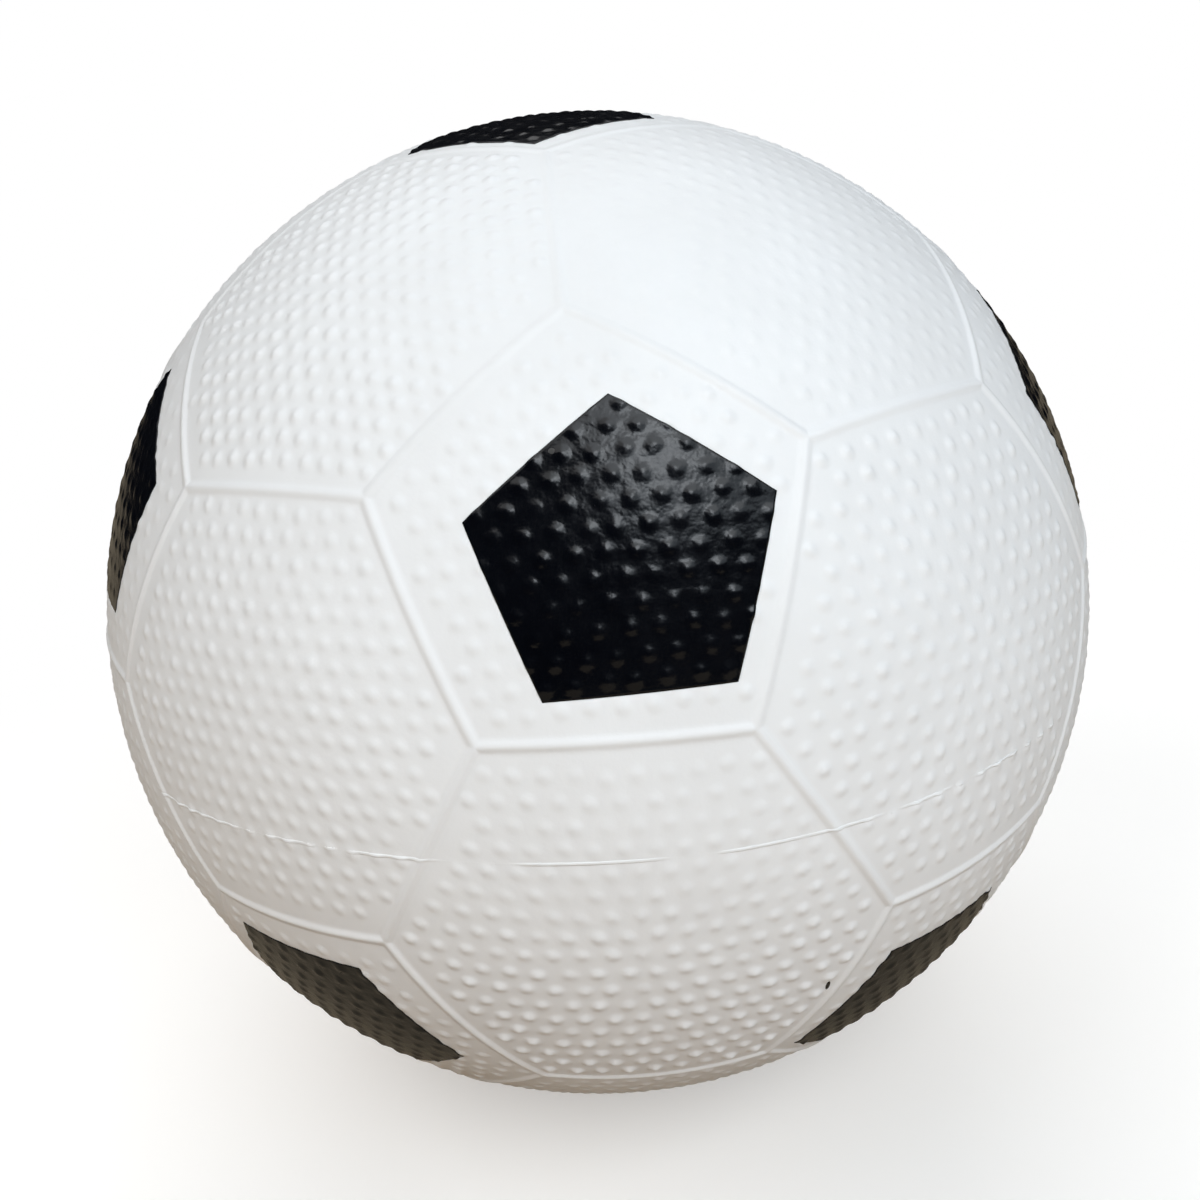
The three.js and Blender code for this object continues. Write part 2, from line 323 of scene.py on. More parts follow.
@dataclass(frozen=True)
class Valve:
    """The sizes of the air valve, measured along its axis from the ball's middle."""

    latitude: float = 52.0
    longitude: float = 90.0
    pad_radius: float = 0.009
    pad_rise: float = 0.0003
    hole_radius: float = 0.0065
    seat_height: float = 0.1074
    top_height: float = 0.1103
    foot_height: float = 0.0923
    neck_radius: float = 0.0062
    flange_radius: float = 0.0105
    flange_top: float = 0.1071
    flange_thickness: float = 0.0018
    bore_radius: float = 0.003
    head_bore_radius: float = 0.0049
    head_seat: float = 0.1083
    head_radius: float = 0.0046
    head_underside: float = 0.1086
    stem_radius: float = 0.0027
    stem_tip: float = 0.0953
    needle_mouth_radius: float = 0.0013
    needle_mouth_depth: float = 0.0012
    needle_radius: float = 0.0006
    needle_depth: float = 0.011

    def axes(self) -> tuple[Array, Array, Array]:
        """The valve's axis outwards, then east and north beside it."""
        return bearings(self.latitude, self.longitude)


@dataclass(frozen=True)
class PimpleRows:
    """The staggered rows of pimples in one panel: their spacing, their turn, and the place of one pimple.

    The pimples have these shares of full height: height in the upper part of the ball, and low towards its foot.
    """

    pitch: float = 0.0049
    row_step: float = 0.0043
    turn: float = 0.0
    start: tuple[float, float] = (0.0, 0.0)
    height: float = 0.40
    low: float = 0.45

    def from_map(self, x: Array, y: Array) -> tuple[Array, Array]:
        """Places along and across the rows, in steps, of places on the panel's map."""
        c, s = math.cos(self.turn), math.sin(self.turn)
        x, y = x - self.start[0], y - self.start[1]
        return (x * c + y * s) / self.pitch, (y * c - x * s) / self.row_step

    def to_map(self, along: Array, across: Array) -> tuple[Array, Array]:
        """Places on the panel's map of places along and across the rows, in steps."""
        c, s = math.cos(self.turn), math.sin(self.turn)
        x, y = along * self.pitch, across * self.row_step
        return x * c - y * s + self.start[0], x * s + y * c + self.start[1]


PIMPLE_ROWS = {
    "skin_pentagon_top": PimpleRows(height=0.42),
    "skin_pentagon_front": PimpleRows(0.0049, 0.0040, math.radians(0.3), (-0.0002, -0.0001), height=0.53),
    "skin_pentagon_right": PimpleRows(height=0.32),
    "skin_pentagon_left": PimpleRows(height=0.32),
    "skin_pentagon_lower_right": PimpleRows(low=0.5),
    "skin_pentagon_lower_left": PimpleRows(low=0.5),
    "skin_hexagon_upper_1": PimpleRows(0.00435, 0.00397, math.radians(1.2), (-0.0027, 0.0007), height=0.76),
    "skin_hexagon_upper_2": PimpleRows(0.00525, 0.00403, math.radians(-2.0), (0.0017, -0.0005), height=0.32),
    "skin_hexagon_upper_middle_1": PimpleRows(0.0046, 0.0041, math.radians(1.8), (-0.0010, -0.0008), 0.54, 0.38),
    "skin_hexagon_upper_middle_2": PimpleRows(0.0052, 0.0045, math.radians(-1.8), (-0.0008, -0.0016), 0.70, 0.36),
    "skin_hexagon_lower_middle_2": PimpleRows(0.0050, 0.0044, math.radians(-3.5), (0.0024, -0.0022), 0.42, 1.05),
}


def rows_of(panel: Panel) -> PimpleRows:
    """The rows of a panel, which are the usual ones where it has none of its own."""
    return PIMPLE_ROWS.get(panel.name, PimpleRows())


@dataclass(frozen=True)
class Relief:
    """Everything moulded into the skin, as a height over the plain sphere.

    The pairs that are named between are places on the ball, from -1 at its foot to 1 at its top.
    """

    radius: float = 0.110
    centre_height: float = 0.10975
    ridge_height: float = 0.00042
    ridge_half_width: float = 0.0014
    ridge_loss: float = 0.5
    ridge_loss_between: tuple[float, float] = (0.55, 0.9)
    pimple_radius: float = 0.00175
    pimple_height: float = 0.00055
    pimple_margin: float = 0.0027
    pimple_wander: float = 0.0002
    pimple_unevenness: float = 0.15
    pimple_change_between: tuple[float, float] = (-0.45, 0.05)
    pimple_reach: float = 0.5
    pad_clear: float = 0.003
    pad_edge: tuple[float, float] = (0.0008, 0.0004)
    table_half: int = 16
    seed: int = 11

    def ridge(self, panel: Panel, directions: Array) -> Array:
        """Height of the rounded ridge.

        At a distance d it is (1 - (d / half width)^2)^2 of its crest, which is lower towards the top of the ball.

        Args:
            panel: Panel that the directions lie in.
            directions: Unit vectors from the ball's middle.

        Returns:
            Heights in metres.
        """
        distance = panel.inside_by(directions) * self.radius
        crest = self.ridge_height * (1.0 - self.ridge_loss * smoothstep(*self.ridge_loss_between, directions[..., 2]))
        return crest * np.clip(1.0 - (distance / self.ridge_half_width) ** 2, 0.0, 1.0) ** 2

    def pimple_table(self, panel: Panel, valve: Valve) -> tuple[Array, Array]:
        """Places and heights of one panel's pimples.

        The places lie in staggered rows, each moved a little at random, on a map that keeps distances from the
        panel's middle. The heights go over from the rows' low share to their upper one with the height on the ball,
        each a little uneven. A pimple nearer to a ridge or to the valve's pad than its margin has no height.

        Args:
            panel: Panel to cover.
            valve: Valve whose pad stays smooth.

        Returns:
            Map places, by row and column, and heights.
        """
        size = 2 * self.table_half + 1
        chance = np.random.default_rng([self.seed, *(abs(int(1e4 * x)) for x in panel.middle)])
        steps = np.arange(size) - self.table_half
        column, row = np.meshgrid(steps, steps)
        rows = rows_of(panel)
        places = np.stack(rows.to_map(column + (row % 2) / 2.0, row), axis=-1)
        places = places + chance.normal(0.0, self.pimple_wander, (size, size, 2))
        reach = np.linalg.norm(places, axis=-1, keepdims=True)
        east, north = panel.row_axes()
        sideways = (places[..., :1] * east + places[..., 1:] * north) / np.maximum(reach, TINY)
        directions = np.cos(reach / self.radius) * panel.middle + np.sin(reach / self.radius) * sideways
        clear = panel.inside_by(directions) * self.radius > self.pimple_margin
        from_valve = angle_from(valve.axes()[0], directions) * self.radius
        clear &= from_valve > valve.pad_radius + self.pad_clear
        clear &= reach[..., 0] < self.radius * self.pimple_reach
        heights = 1.0 + chance.normal(0.0, self.pimple_unevenness, (size, size))
        upper = smoothstep(*self.pimple_change_between, directions[..., 2])
        heights *= self.pimple_height * (rows.low + (rows.height - rows.low) * upper)
        return places, np.where(clear, heights, 0.0)

    def pimples(self, panel: Panel, directions: Array, valve: Valve) -> Array:
        """Height of the pimples: each a dome that falls from its top as (1 - (r / radius)^2)^2.

        Args:
            panel: Panel that the directions lie in.
            directions: Unit vectors from the ball's middle.
            valve: Valve whose pad stays smooth.

        Returns:
            Heights in metres.
        """
        places, heights = self.pimple_table(panel, valve)
        east, north = panel.row_axes()
        angle = angle_from(panel.middle, directions)
        spread = self.radius * angle / np.maximum(np.sin(angle), TINY)
        x, y = spread * (directions @ east), spread * (directions @ north)
        total = np.zeros(directions.shape[:-1])
        along, across = rows_of(panel).from_map(x, y)
        for row_step in (0, 1):
            row = np.floor(across).astype(int) + row_step
            column = np.floor(along - (row % 2) / 2.0).astype(int)
            for column_step in (0, 1):
                at = (
                    np.clip(row + self.table_half, 0, 2 * self.table_half),
                    np.clip(column + column_step + self.table_half, 0, 2 * self.table_half),
                )
                off = np.hypot(x - places[at][..., 0], y - places[at][..., 1])
                dome = np.clip(1.0 - (off / self.pimple_radius) ** 2, 0.0, 1.0) ** 2
                total = np.maximum(total, heights[at] * dome)
        return total

    def pad(self, directions: Array, valve: Valve) -> Array:
        """Height of the smooth round pad about the valve, with a soft edge."""
        off = angle_from(valve.axes()[0], directions) * self.radius
        inside, outside = valve.pad_radius - self.pad_edge[0], valve.pad_radius + self.pad_edge[1]
        return valve.pad_rise * (1.0 - smoothstep(inside, outside, off))

    def height(self, panel: Panel, directions: Array, valve: Valve) -> Array:
        """Height of the whole relief inside one panel: the highest of ridge, pimples and pad."""
        ridge = self.ridge(panel, directions)
        return np.maximum(np.maximum(ridge, self.pimples(panel, directions, valve)), self.pad(directions, valve))

    def place(self, directions: Array, heights: Array, lift: float = 0.0) -> Array:
        """Points of the relief in the part's frame, pressed flat where the ball stands.

        Each point lies along its direction at the sphere's radius plus its height, and no point reaches lower than
        the floor plus the room that is left for what lies under it.

        Args:
            directions: Unit vectors from the ball's middle.
            heights: Heights over the sphere in metres.
            lift: Least height over the floor in metres.

        Returns:
            Points in metres.
        """
        down = np.maximum(-directions[..., 2], TINY)
        reach = np.minimum(self.radius + heights, (self.centre_height - lift) / down)
        return directions * reach[..., None] + np.array((0.0, 0.0, self.centre_height))


@dataclass
class Mesh:
    """A mesh being put together: its points, and its faces with whether each group is shaded smooth."""

    points: list[Array] = field(default_factory=list)
    faces: list[tuple[Array, bool]] = field(default_factory=list)
    count: int = 0

    def add_points(self, points: Array) -> Array:
        """Adds points and returns their numbers in the shape of the grid that they came in."""
        numbers = self.count + np.arange(points[..., 0].size).reshape(points.shape[:-1])
        self.points.append(points.reshape(-1, 3))
        self.count += numbers.size
        return numbers

    def add_grid(self, numbers: Array, smooth: bool = True) -> None:
        """Adds the quads of a grid of point numbers, facing the side from which rows then columns turn left."""
        quads = np.stack((numbers[:-1, :-1], numbers[1:, :-1], numbers[1:, 1:], numbers[:-1, 1:]), axis=-1)
        self.faces.append((quads.reshape(-1, 4), smooth))

    def add_fan(self, ring: Array, hub: int, smooth: bool = True) -> None:
        """Adds the triangles from a closed ring of point numbers to a hub."""
        after = np.roll(ring, -1)
        self.faces.append((np.stack((ring, after, np.full_like(ring, hub)), axis=-1), smooth))

    def close_under(self, rim: Array, foot: Array, hub: Array) -> None:
        """Closes a sheet from below: a wall goes down from its rim, and a fan joins the wall's foot to a hub.

        Args:
            rim: Numbers of the points round the sheet, anticlockwise.
            foot: Points of the wall's foot, one for each point of the rim.
            hub: The one point in the middle of the fan.
        """
        low, middle = self.add_points(foot), self.add_points(hub)
        self.add_grid(np.stack((looped(low), looped(rim)), axis=1), smooth=False)
        self.add_fan(low[::-1], int(middle[0]), smooth=False)

    def build(self, name: str) -> bpy.types.Object:
        """Makes the Blender object.

        Args:
            name: Name of the piece.

        Returns:
            The object, linked to the scene, at the origin.
        """
        mesh = bpy.data.meshes.new(name)
        points = np.concatenate(self.points).astype(np.float32)
        corners = np.concatenate([f.ravel() for f, _ in self.faces]).astype(np.int32)
        sizes = np.concatenate([np.full(len(f), f.shape[1]) for f, _ in self.faces])
        smooth = np.concatenate([np.full(len(f), s) for f, s in self.faces])
        mesh.vertices.add(len(points))
        mesh.vertices.foreach_set("co", points.ravel())
        mesh.loops.add(len(corners))
        mesh.loops.foreach_set("vertex_index", corners)
        mesh.polygons.add(len(sizes))
        mesh.polygons.foreach_set("loop_start", (np.cumsum(sizes) - sizes).astype(np.int32))
        mesh.polygons.foreach_set("use_smooth", smooth)
        mesh.update(calc_edges=True)
        mesh.validate()
        return link(name, mesh)


def kite_grid(panel: Panel, places: Array) -> tuple[Array, list[Array], Array]:
    """Covers a polygon on the sphere with one grid of directions per corner.

    Each grid is a kite from the polygon's middle to the middle of one edge, the corner, and the middle of the next
    edge. A direction is the blend of those four by its two places along the kite, scaled to length one.

    Args:
        panel: Polygon to cover.
        places: Places from 0 to 1 along both ways of a kite.

    Returns:
        The directions, the kites as grids of their numbers, and the numbers round the rim anticlockwise.
    """
    sides, last = len(panel.corners), len(places) - 1
    halves = unit(panel.corners + np.roll(panel.corners, -1, axis=0))
    u, v = places[1:, None, None], places[None, :, None]
    blocks = []
    for side in range(sides):
        after = (side + 1) % sides
        grid = (1 - u) * (1 - v) * panel.middle + u * (1 - v) * halves[side]
        grid = grid + u * v * panel.corners[after] + (1 - u) * v * halves[after]
        blocks.append(unit(grid).reshape(-1, 3))
    directions = np.concatenate([panel.middle[None, :], *blocks])
    own = np.arange(last * (last + 1)).reshape(last, last + 1)
    starts = [1 + side * last * (last + 1) for side in range(sides)]
    kites, rim = [], []
    for side in range(sides):
        mine, following = own + starts[side], own + starts[(side + 1) % sides]
        first_row = np.concatenate(([0], following[:, 0]))
        kites.append(np.concatenate((first_row[None, :], mine)))
        rim.append(np.concatenate((mine[-1, :], mine[-2::-1, -1])))
    return directions, kites, np.concatenate(rim)


class Node:
    """A shader node whose outputs are read by name."""

    def __init__(self, tree: "ShaderTree", made: bpy.types.Node) -> None:
        """Keeps the tree and the node."""
        self.tree, self.made = tree, made

    def out(self, name: str | int = 0) -> "Value":
        """The named or numbered output, ready for arithmetic."""
        return Value(self.tree, self.made.outputs[name])


class Value:
    """A socket's value: arithmetic on it adds Math nodes to its tree."""

    def __init__(self, tree: "ShaderTree", socket: bpy.types.NodeSocket) -> None:
        """Keeps the tree and the socket."""
        self.tree, self.socket = tree, socket

    def __add__(self, other: Any) -> "Value":
        """self + other"""
        return self.tree.math("ADD", self, other)

    def __radd__(self, other: Any) -> "Value":
        """other + self"""
        return self.tree.math("ADD", other, self)

    def __sub__(self, other: Any) -> "Value":
        """self - other"""
        return self.tree.math("SUBTRACT", self, other)

    def __rsub__(self, other: Any) -> "Value":
        """other - self"""
        return self.tree.math("SUBTRACT", other, self)

    def __mul__(self, other: Any) -> "Value":
        """self * other"""
        return self.tree.math("MULTIPLY", self, other)

    def __rmul__(self, other: Any) -> "Value":
        """other * self"""
        return self.tree.math("MULTIPLY", other, self)

    def __lt__(self, other: Any) -> "Value":
        """1 where self is less than other, else 0"""
        return self.tree.math("LESS_THAN", self, other)

    def __gt__(self, other: Any) -> "Value":
        """1 where self is more than other, else 0"""
        return self.tree.math("GREATER_THAN", self, other)


class ShaderTree:
    """A node tree that is written with expressions."""

    def __init__(self, owner: bpy.types.Material | bpy.types.World) -> None:
        """Empties the owner's node tree, and notes which kind of node ends it."""
        owner.use_nodes = True
        self.tree = owner.node_tree
        self.tree.nodes.clear()
        self.output = "ShaderNodeOutputWorld" if isinstance(owner, bpy.types.World) else "ShaderNodeOutputMaterial"

    def node(self, kind: str, settings: dict[str, Any] | None = None, sockets: dict[Any, Any] | None = None) -> Node:
        """Adds one node.

        Args:
            kind: Blender's type name.
            settings: Attributes to set first.
            sockets: Inputs by name or number, as numbers, colours, values or nodes.

        Returns:
            The node.
        """
        made = self.tree.nodes.new(kind)
        for name, setting in (settings or {}).items():
            setattr(made, name, setting)
        for name, given in (sockets or {}).items():
            if isinstance(given, Node):
                given = given.out()
            if isinstance(given, Value):
                self.tree.links.new(given.socket, made.inputs[name])
            else:
                made.inputs[name].default_value = given
        return Node(self, made)

    def math(self, operation: str, *terms: Any, clamp: bool = False) -> Value:
        """Adds one Math node.

        Args:
            operation: Blender's name of the operation.
            terms: Its inputs in order, as values or numbers.
            clamp: Whether the result is held between 0 and 1.

        Returns:
            The node's result.
        """
        settings = {"operation": operation, "use_clamp": clamp}
        return self.node("ShaderNodeMath", settings, dict(enumerate(terms))).out()

    def mix(self, factor: Any, first: Any, second: Any) -> Value:
        """A colour between two, by a factor from 0 to 1."""
        sockets = {0: factor, 6: first, 7: second}
        return self.node("ShaderNodeMix", {"data_type": "RGBA"}, sockets).out(2)

    def objects(self) -> Value:
        """Object coordinates, in metres."""
        return self.node("ShaderNodeTexCoord").out("Object")

    def noise(self, scale: float, detail: float, roughness: float) -> Value:
        """Noise from 0 to 1 with this many features to the metre."""
        sockets = {"Vector": self.objects(), "Scale": scale, "Detail": detail, "Roughness": roughness}
        return self.node("ShaderNodeTexNoise", None, sockets).out(0)

    def surface(self, shader: Node) -> None:
        """Ends the tree with this shader."""
        self.node(self.output, None, {"Surface": shader})


@dataclass(frozen=True)
class MouldedFinish:
    """A moulded or printed surface: two drifting shades, faint specks, uneven gloss, fine grain and wrinkles."""

    name: str
    colour: Colour
    shade: Colour
    speck: Colour
    speck_share: float = 0.02
    speck_scale: float = 420.0
    speck_reach: float = 0.22
    shade_from: float = 0.35
    shade_gain: float = 2.2
    drift_scale: float = 45.0
    grain_scale: float = 1500.0
    roughness: float = 0.38
    roughness_spread: float = 0.12
    grain_depth: float = 0.00002
    wrinkle_scale: float = 520.0
    wrinkle_depth: float = 0.00003
    specular: float = 0.5

    @cache
    def material(self) -> bpy.types.Material:
        """Builds the material, once for all the pieces that wear it.

        Returns:
            The Blender material.
        """
        made = bpy.data.materials.new(self.name)
        tree = ShaderTree(made)
        drift = tree.noise(self.drift_scale, detail=4.0, roughness=0.6)
        grain = tree.noise(self.grain_scale, detail=3.0, roughness=0.6)
        wrinkles = tree.noise(self.wrinkle_scale, detail=2.0, roughness=0.5)
        sockets = {"Vector": tree.objects(), "Scale": self.speck_scale}
        cells = tree.node("ShaderNodeTexVoronoi", None, sockets)
        chosen = tree.node("ShaderNodeSeparateColor", None, {"Color": cells.out("Color")}).out(0)
        specks = (chosen < self.speck_share) * (cells.out("Distance") < self.speck_reach)
        shade = tree.math("MULTIPLY", drift - self.shade_from, self.shade_gain, clamp=True)
        colour = tree.mix(specks, tree.mix(shade, self.colour, self.shade), self.speck)
        gloss = self.roughness + (drift - 0.5) * self.roughness_spread + (grain - 0.5) * self.roughness_spread
        height = grain * self.grain_depth + wrinkles * self.wrinkle_depth
        bump = tree.node("ShaderNodeBump", None, {"Strength": 1.0, "Distance": 1.0, "Height": height})
        sockets = {
            "Base Color": colour, "Roughness": gloss, "Normal": bump, "Specular IOR Level": self.specular,
        }
        tree.surface(tree.node("ShaderNodeBsdfPrincipled", None, sockets))
        return made


WHITE_VINYL = MouldedFinish(
    "pebbled_white_vinyl", (0.79, 0.805, 0.825, 1.0), (0.75, 0.76, 0.775, 1.0), (0.55, 0.54, 0.52, 1.0),
    speck_share=0.0, roughness=0.40, specular=0.3,
)
BLACK_INK = MouldedFinish(
    "printed_black_ink", (0.0012, 0.0016, 0.0028, 1.0), (0.002, 0.0025, 0.004, 1.0), (0.05, 0.05, 0.05, 1.0),
    drift_scale=110.0, grain_scale=2200.0, roughness=0.21, roughness_spread=0.16, grain_depth=0.000006,
    wrinkle_depth=0.00014,
)
VALVE_VINYL = MouldedFinish(
    "neck_vinyl", (0.70, 0.71, 0.71, 1.0), (0.62, 0.63, 0.63, 1.0), (0.4, 0.4, 0.4, 1.0), drift_scale=250.0,
    roughness=0.45,
)
VALVE_RUBBER = MouldedFinish(
    "plug_rubber", (0.46, 0.46, 0.44, 1.0), (0.38, 0.38, 0.365, 1.0), (0.62, 0.62, 0.60, 1.0), speck_share=0.06,
    drift_scale=300.0, roughness=0.62,
)


def dress(piece: bpy.types.Object, finish: MouldedFinish, body: Body, slot: Slot, *nodes: str) -> None:
    """Gives a piece its finish and ties it to the frame.

    Args:
        piece: Piece to dress.
        finish: Finish to wear.
        body: Body that it moves with.
        slot: Material slot of the record. Not used.
        nodes: CAD nodes that it stands for.
    """
    piece.data.materials.append(finish.material())
    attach(piece, body.value)
    if nodes:
        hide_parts(*nodes)
    LOG.info("%s: %d faces on %s", piece.name, len(piece.data.polygons), body.value)


@dataclass
class Skin:
    """The one-piece moulded skin, laid out panel by panel with its ridges, pimples and valve pad."""

    net: Net
    relief: Relief
    valve: Valve
    wall: float = 0.0012
    steps: int = 64
    fine_share: float = 0.05
    fine_steps: int = 8
    ring_steps: int = 72
    sunk: float = 0.0004
    sunk_edge: float = 0.0006
    floor_room: float = 0.0001
    film_cosine: float = 0.9
    valve_degrees: float = 10.0

    def heights(self, panel: Panel, directions: Array) -> Array:
        """Height of the skin in a panel: its relief, drawn in under the printed film where that hides it."""
        heights = self.relief.height(panel, directions, self.valve)
        for film in self.net.prints():
            if np.dot(film.middle, panel.middle) > self.film_cosine:
                under = smoothstep(0.0, self.sunk_edge, film.inside_by(directions) * self.relief.radius)
                heights = heights * (1.0 - under) - self.sunk * under
        return heights

    def panel_piece(self, panel: Panel) -> bpy.types.Object:
        """Builds a panel as a closed shell.

        The outside follows the relief over the panel's kites. A wall goes down from the rim to the skin's inner
        face, and a fan closes that face.

        Args:
            panel: Panel to build.

        Returns:
            The piece.
        """
        mesh = Mesh()
        directions, kites, rim = kite_grid(panel, spaced(self.steps, self.fine_share, self.fine_steps))
        heights = self.heights(panel, directions)
        mesh.add_points(self.relief.place(directions, heights, self.floor_room))
        for kite in kites:
            mesh.add_grid(kite)
        foot = self.relief.place(directions[rim], np.full(len(rim), -self.wall), self.wall)
        hub = self.relief.place(panel.middle[None, :], np.array([-self.wall - self.sunk]), self.wall)
        mesh.close_under(rim, foot, hub)
        return mesh.build(panel.name)

    def valve_panel_piece(self, panel: Panel) -> bpy.types.Object:
        """Builds the panel with the valve's hole as a closed shell.

        The outside is a grid of rings that blend from the hole's circle to the panel's rim. Walls go down at both,
        and a ring closes the inner face.

        Args:
            panel: Panel to build.

        Returns:
            The piece.
        """
        mesh = Mesh()
        directions, _, rim = kite_grid(panel, spaced(self.steps, self.fine_share, self.fine_steps))
        outer = directions[rim]
        axis, east, north = self.valve.axes()
        turn = np.arctan2(outer @ north, outer @ east)
        angle = self.valve.hole_radius / self.valve.top_height
        hole = math.cos(angle) * axis + math.sin(angle) * around(turn, east, north)
        places = spaced(self.ring_steps, self.fine_share, self.fine_steps)[:, None, None]
        grid = unit((1.0 - places) * hole + places * outer)
        numbers = mesh.add_points(self.relief.place(grid, self.heights(panel, grid)))
        numbers = np.concatenate((numbers, numbers[:, :1]), axis=1)
        mesh.add_grid(numbers)
        inner_rim = mesh.add_points(self.relief.place(outer, np.full(len(outer), -self.wall)))
        depth = self.valve.seat_height - self.relief.radius
        inner_hole = mesh.add_points(self.relief.place(hole, np.full(len(hole), depth)))
        inner_rim, inner_hole = looped(inner_rim), looped(inner_hole)
        for pair in ((inner_hole, numbers[0]), (numbers[-1], inner_rim), (inner_rim, inner_hole)):
            mesh.add_grid(np.stack(pair), smooth=False)
        return mesh.build(panel.name)

    def build(self) -> None:
        """Builds and dresses every panel."""
        axis = self.valve.axes()[0]
        for panel in self.net.panels():
            holed = np.dot(axis, panel.middle) > math.cos(math.radians(self.valve_degrees))
            piece = self.valve_panel_piece(panel) if holed else self.panel_piece(panel)
            dress(piece, WHITE_VINYL, Body.BALL, Slot.WHITE_VINYL, "skin")


@dataclass
class Prints:
    """The twelve black pentagons, each a film of ink over the pimples."""

    net: Net
    relief: Relief
    valve: Valve
    lift: float = 0.00009
    depth: float = 0.0002
    steps: int = 48
    fleck_corners: int = 8
    fleck_steps: int = 3
    fleck_place: tuple[float, float] = (-21.5, -72.3)
    fleck_size: tuple[float, float] = (0.00045, 0.0014)

    def film_piece(self, film: Panel, panel: Panel, steps: int) -> bpy.types.Object:
        """Builds one film as a closed sheet that follows the relief.

        The outside is the panel's relief plus the film's lift over the print's kites. The rim turns down to the
        underside, which is a fan just under the film.

        Args:
            film: Outline of the print.
            panel: Moulded panel that it lies on.
            steps: Steps along each way of a kite.

        Returns:
            The piece.
        """
        mesh = Mesh()
        directions, kites, rim = kite_grid(film, np.linspace(0.0, 1.0, steps + 1))
        heights = self.relief.height(panel, directions, self.valve)
        mesh.add_points(self.relief.place(directions, heights + self.lift))
        for kite in kites:
            mesh.add_grid(kite)
        foot = self.relief.place(directions[rim], heights[rim] - self.depth, self.depth)
        hub = self.relief.place(film.middle[None, :], np.array([-self.depth]), self.depth)
        mesh.close_under(rim, foot, hub)
        return mesh.build(film.name)

    def fleck(self) -> Panel:
        """The outline of a stray drop of ink beside the lower right print: an upright ellipse."""
        out, east, north = bearings(*self.fleck_place)
        turn = np.linspace(0.0, FULL_TURN, self.fleck_corners, endpoint=False)
        ring = around(turn, east * self.fleck_size[0], north * self.fleck_size[1])
        return Panel("ink_fleck", out, unit(out + ring / self.relief.radius))

    def build(self) -> None:
        """Builds and dresses every film, and the stray drop of ink."""
        panels = self.net.panels()
        for pentagon, film, panel in zip(PENTAGONS, self.net.prints(), panels, strict=False):
            piece = self.film_piece(film, panel, self.steps)
            dress(piece, BLACK_INK, Body.BALL, Slot.BLACK_INK, f"black_pentagon_{pentagon.name}")
        fleck = self.fleck()
        under = max(panels, key=lambda panel: float(panel.inside_by(fleck.middle)))
        dress(self.film_piece(fleck, under, self.fleck_steps), BLACK_INK, Body.BALL, Slot.BLACK_INK)


